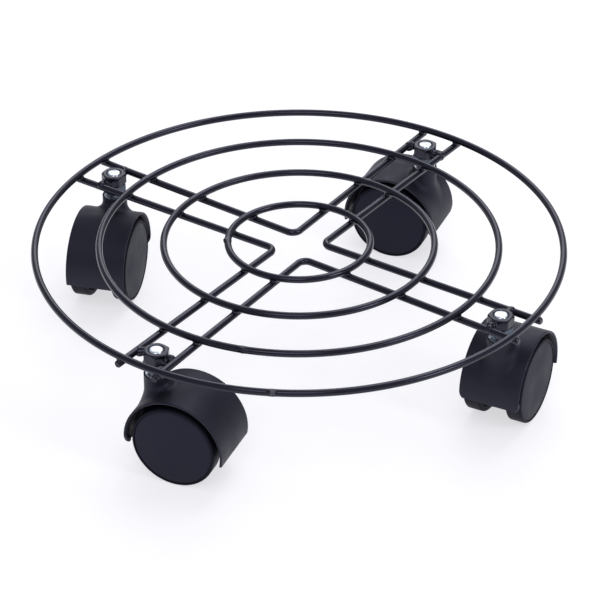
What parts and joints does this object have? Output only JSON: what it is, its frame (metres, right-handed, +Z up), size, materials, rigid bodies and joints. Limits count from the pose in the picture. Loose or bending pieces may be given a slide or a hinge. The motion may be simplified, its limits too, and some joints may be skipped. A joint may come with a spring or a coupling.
{
  "type": "plant pot caddy",
  "caption": "Round welded wire tray of four rings on V spokes, rolling on twin-wheel swivel casters, for moving a plant pot about.",
  "frame": {"origin": "on the floor below the middle of the tray", "axes": "+Z up; the four arms that hold the casters lie on the diagonals between X and Y"},
  "size_m": [0.3, 0.3, 0.074],
  "materials": {
    "frame_coat": "gloss black powder coat on steel",
    "zinc": "bright zinc plated steel",
    "steel": "plain turned steel",
    "hood_plastic": "satin black moulded nylon",
    "wheel_plastic": "matt black moulded nylon",
    "cover_plastic": "satin dark grey moulded disc"
  },
  "bodies": {
    "frame": {"outer_ring": "frame_coat", "second_ring": "frame_coat", "third_ring": "frame_coat", "inner_ring": "frame_coat", "spoke_right": "frame_coat", "spoke_back": "frame_coat", "spoke_left": "frame_coat", "spoke_front": "frame_coat", "weld_nut_back_right": "frame_coat", "stem_back_right": "zinc", "washer_back_right": "zinc", "grip_ring_back_right": "steel", "weld_nut_back_left": "frame_coat", "stem_back_left": "zinc", "washer_back_left": "zinc", "grip_ring_back_left": "steel", "weld_nut_front_left": "frame_coat", "stem_front_left": "zinc", "washer_front_left": "zinc", "grip_ring_front_left": "steel", "weld_nut_front_right": "frame_coat", "stem_front_right": "zinc", "washer_front_right": "zinc", "grip_ring_front_right": "steel"},
    "caster_back_right": {"hood_back_right": "hood_plastic", "axle_back_right": "steel", "axle_clips_back_right": "steel"},
    "wheel_a_back_right": {"wheel_a_back_right": "wheel_plastic", "wheel_cover_a_back_right": "cover_plastic"},
    "wheel_b_back_right": {"wheel_b_back_right": "wheel_plastic", "wheel_cover_b_back_right": "cover_plastic"},
    "caster_back_left": {"hood_back_left": "hood_plastic", "axle_back_left": "steel", "axle_clips_back_left": "steel"},
    "wheel_a_back_left": {"wheel_a_back_left": "wheel_plastic", "wheel_cover_a_back_left": "cover_plastic"},
    "wheel_b_back_left": {"wheel_b_back_left": "wheel_plastic", "wheel_cover_b_back_left": "cover_plastic"},
    "caster_front_left": {"hood_front_left": "hood_plastic", "axle_front_left": "steel", "axle_clips_front_left": "steel"},
    "wheel_a_front_left": {"wheel_a_front_left": "wheel_plastic", "wheel_cover_a_front_left": "cover_plastic"},
    "wheel_b_front_left": {"wheel_b_front_left": "wheel_plastic", "wheel_cover_b_front_left": "cover_plastic"},
    "caster_front_right": {"hood_front_right": "hood_plastic", "axle_front_right": "steel", "axle_clips_front_right": "steel"},
    "wheel_a_front_right": {"wheel_a_front_right": "wheel_plastic", "wheel_cover_a_front_right": "cover_plastic"},
    "wheel_b_front_right": {"wheel_b_front_right": "wheel_plastic", "wheel_cover_b_front_right": "cover_plastic"}
  },
  "joints": [
    {"name": "swivel_back_right", "type": "hinge", "parent": "frame", "child": "caster_back_right", "pos_m": [0.09334, 0.09334, 0.05], "axis": [0, 0, 1], "continuous": true},
    {"name": "spin_a_back_right", "type": "hinge", "parent": "caster_back_right", "child": "wheel_a_back_right", "pos_m": [0.07992, 0.10205, 0.024], "axis": [-0.5446, -0.8387, 0], "continuous": true},
    {"name": "spin_b_back_right", "type": "hinge", "parent": "caster_back_right", "child": "wheel_b_back_right", "pos_m": [0.07992, 0.10205, 0.024], "axis": [-0.5446, -0.8387, 0], "continuous": true},
    {"name": "swivel_back_left", "type": "hinge", "parent": "frame", "child": "caster_back_left", "pos_m": [-0.09334, 0.09334, 0.05], "axis": [0, 0, 1], "continuous": true},
    {"name": "spin_a_back_left", "type": "hinge", "parent": "caster_back_left", "child": "wheel_a_back_left", "pos_m": [-0.09985, 0.07872, 0.024], "axis": [0.9135, -0.4067, 0], "continuous": true},
    {"name": "spin_b_back_left", "type": "hinge", "parent": "caster_back_left", "child": "wheel_b_back_left", "pos_m": [-0.09985, 0.07872, 0.024], "axis": [0.9135, -0.4067, 0], "continuous": true},
    {"name": "swivel_front_left", "type": "hinge", "parent": "frame", "child": "caster_front_left", "pos_m": [-0.09334, -0.09334, 0.05], "axis": [0, 0, 1], "continuous": true},
    {"name": "spin_a_front_left", "type": "hinge", "parent": "caster_front_left", "child": "wheel_a_front_left", "pos_m": [-0.07992, -0.10205, 0.024], "axis": [0.5446, 0.8387, 0], "continuous": true},
    {"name": "spin_b_front_left", "type": "hinge", "parent": "caster_front_left", "child": "wheel_b_front_left", "pos_m": [-0.07992, -0.10205, 0.024], "axis": [0.5446, 0.8387, 0], "continuous": true},
    {"name": "swivel_front_right", "type": "hinge", "parent": "frame", "child": "caster_front_right", "pos_m": [0.09334, -0.09334, 0.05], "axis": [0, 0, 1], "continuous": true},
    {"name": "spin_a_front_right", "type": "hinge", "parent": "caster_front_right", "child": "wheel_a_front_right", "pos_m": [0.10297, -0.08056, 0.024], "axis": [-0.7986, 0.6018, 0], "continuous": true},
    {"name": "spin_b_front_right", "type": "hinge", "parent": "caster_front_right", "child": "wheel_b_front_right", "pos_m": [0.10297, -0.08056, 0.024], "axis": [-0.7986, 0.6018, 0], "continuous": true}
  ]
}
